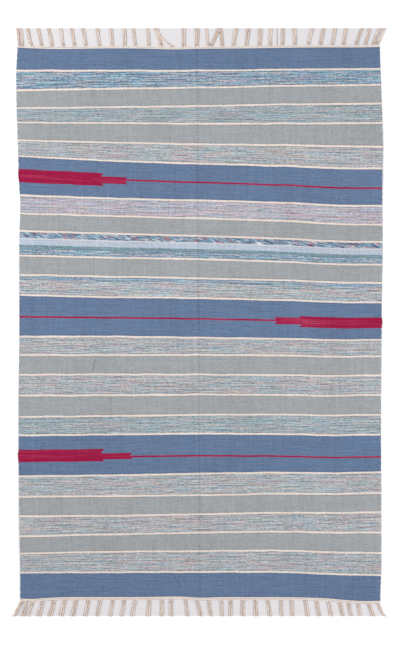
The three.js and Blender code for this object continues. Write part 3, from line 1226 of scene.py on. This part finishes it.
# %% Both fringes
def make_fringe(name, end, tassels):
    bm = new_fringe_mesh()
    lay_heading(bm, end)
    for tassel in range(tassels[-1]["tassel"] + 1):
        root = even_at(tassels, "tassel", "root", tassel)
        tip = even_at(tassels, "tassel", "tip", tassel)
        width = even_at(tassels, "tassel", "width", tassel)
        pulled = end == PULLED_OVER["end"] and tassel == PULLED_OVER["tassel"]
        swing = PULLED_OVER["swing"] if pulled else SWAY * math.sin(tassel * SWAY_STEP)
        lay_tassel(bm, end, root, tip, width, swing)
    if end == LOOSE_STRAND["end"]:
        lay_loose_strand(bm, end)
    close_yarns(bm)
    return new_piece(name, bm)


tassels_top = make_fringe("tassels_top", "top", TOP_TASSELS)
tassels_bottom = make_fringe("tassels_bottom", "bottom", BOTTOM_TASSELS)

# %% [markdown]
# Undyed cotton is cream where it is tightly twisted, and turns to tan where the loose ends
# have been walked on. Every yarn has its own shade, and fine twisted fibres run round it. A few
# small dark spots are painted on the top fringe, most of them by the roots of the tassels.

# %% Undyed cotton of the fringes
FIBRE_TURN = 0.0040
FIBRE_RELIEF = 0.00025
SOIL_SCALE = 45.0
SPOT_REACH = 0.0042
SPOT_DYE = dye(92, 76, 74)
SPOTS = table(
    "x y dark",
    (-0.5925, 0.9170, 0.70),
    (-0.5825, 0.9175, 0.70),
    (-0.5490, 0.9175, 0.70),
    (-0.5160, 0.9180, 0.70),
    (-0.4815, 0.9175, 0.80),
    (-0.1260, 0.9235, 1.00),
    (-0.0930, 0.9130, 0.80),
    (0.0660, 0.9610, 0.70),
    (0.1620, 0.9640, 0.75),
    (0.5700, 0.9235, 0.80),
    (0.5850, 0.9235, 0.80),
)
undyed = Shader("fringe_cotton")
yarn_map = undyed.node("ShaderNodeUVMap", {"uv_map": TWIST_MAP})
around, down_yarn = undyed.split(yarn_map)
shade = undyed.node("ShaderNodeAttribute", {"attribute_name": SHADE_LAYER}, output=2)
bleached = undyed.node("ShaderNodeAttribute", {"attribute_name": BLEACH_LAYER}, output=2)
place = undyed.node("ShaderNodeTexCoord", output=3)
soil = undyed.node(
    "ShaderNodeTexNoise", values={"Vector": place, "Scale": SOIL_SCALE, "Detail": 3.0})

tan = undyed.blend(shade, dye(186, 156, 140), dye(246, 232, 223))
tan = undyed.blend((soil - 0.5) * 0.8 + 0.1, tan, dye(214, 192, 175))
tan = undyed.blend(bleached, tan, dye(240, 228, 221))
place_x, place_y = undyed.split(place)
spot_share = 0.0
for spot in SPOTS:
    spot_x = place_x.hump(spot["x"] + SHIFT.x, SPOT_REACH)
    spot_y = place_y.hump(spot["y"] + SHIFT.y, SPOT_REACH)
    spot_share = spot_x * spot_y * spot["dark"] + spot_share
tan = undyed.blend(spot_share, tan, SPOT_DYE)
fibres = ((around * 3 + down_yarn / FIBRE_TURN) * (2 * math.pi)).sine()
twist_relief = undyed.bump(fibres, FIBRE_RELIEF)
undyed.finish(
    tassels_top,
    Base_Color=tan,
    Normal=twist_relief,
    Roughness=0.85,
    Specular_IOR_Level=0.3,
)
undyed.finish(tassels_bottom)
print("The fringes' finish has", len(undyed.tree.nodes), "nodes")

# %% [markdown]
# ## Floor and light
# The rug lies on a plain white floor under soft studio light: one large soft box to the left of
# the top end, a second one to the right, and an even pale surround. Between the tassels the
# floor is a pale lilac grey.

# %% Floor
FLOOR_SIZE = 12.0
bm = bmesh.new()
bmesh.ops.create_grid(bm, x_segments=1, y_segments=1, size=FLOOR_SIZE / 2)
floor = new_piece("floor", bm)
pale = Shader("pale_floor")
floor_place = pale.node("ShaderNodeTexCoord", output=3)
floor_x, floor_y = pale.split(floor_place)
floor_tone = pale.blend(pale.noise(floor_place), dye(249, 248, 249), dye(252, 251, 252))
BETWEEN_TOP = dye(212, 210, 213)
BETWEEN_BOTTOM = dye(216, 213, 216)
for tassels, side, cut, lilac in (
    (TOP_TASSELS, 1, TOP_CUT, BETWEEN_TOP),
    (BOTTOM_TASSELS, -1, BOTTOM_CUT, BETWEEN_BOTTOM),
):
    out = (floor_y - SHIFT.y) * side - CLOTH_LENGTH / 2
    first = tassels[0]
    last = tassels[-1]
    left = out * ((first["tip"] - first["root"]) / cut) + (first["root"] + SHIFT.x)
    right = out * ((last["tip"] - last["root"]) / cut) + (last["root"] + SHIFT.x)
    between = (out > -0.02) * (out < cut) * (floor_x > left) * (floor_x < right)
    floor_tone = pale.blend(between, floor_tone, lilac)
pale.finish(floor, Base_Color=floor_tone, Roughness=0.9, Specular_IOR_Level=0.1)

# %% [markdown]
# The left box is the stronger one, so the fold and the ribs get a lit and a shaded side.

# %% Light
SURROUND = 0.42
SOFT_BOXES = table(
    "x y z size power",
    (-2.6, 1.4, 3.2, 2.4, 122.0),
    (2.8, -0.6, 3.2, 2.4, 94.0),
)

world = bpy.data.worlds.new("surround")
world.use_nodes = True
background = world.node_tree.nodes["Background"]
background.inputs["Color"].default_value = (1.0, 1.0, 1.0, 1.0)
background.inputs["Strength"].default_value = SURROUND
bpy.context.scene.world = world
for number, box in enumerate(SOFT_BOXES):
    light_data = bpy.data.lights.new(f"soft_box_{number}", "AREA")
    light_data.size = box["size"]
    light_data.energy = box["power"]
    light = bpy.data.objects.new(f"soft_box_{number}", light_data)
    light.location = (box["x"], box["y"], box["z"])
    light.rotation_euler = (-light.location).to_track_quat("-Z", "Y").to_euler()
    bpy.context.scene.collection.objects.link(light)
bpy.context.scene.view_settings.view_transform = "Standard"
print(len(SOFT_BOXES), "soft boxes")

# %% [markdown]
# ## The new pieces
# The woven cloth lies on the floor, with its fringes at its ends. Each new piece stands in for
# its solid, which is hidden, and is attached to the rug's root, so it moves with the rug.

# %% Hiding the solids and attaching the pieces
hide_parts("rug_cloth")
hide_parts("fringe_top")
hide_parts("fringe_bottom")
for piece, slot in (
    (cloth, "woven_cotton"),
    (tassels_top, "fringe_cotton"),
    (tassels_bottom, "fringe_cotton"),
):
    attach(piece, "root")
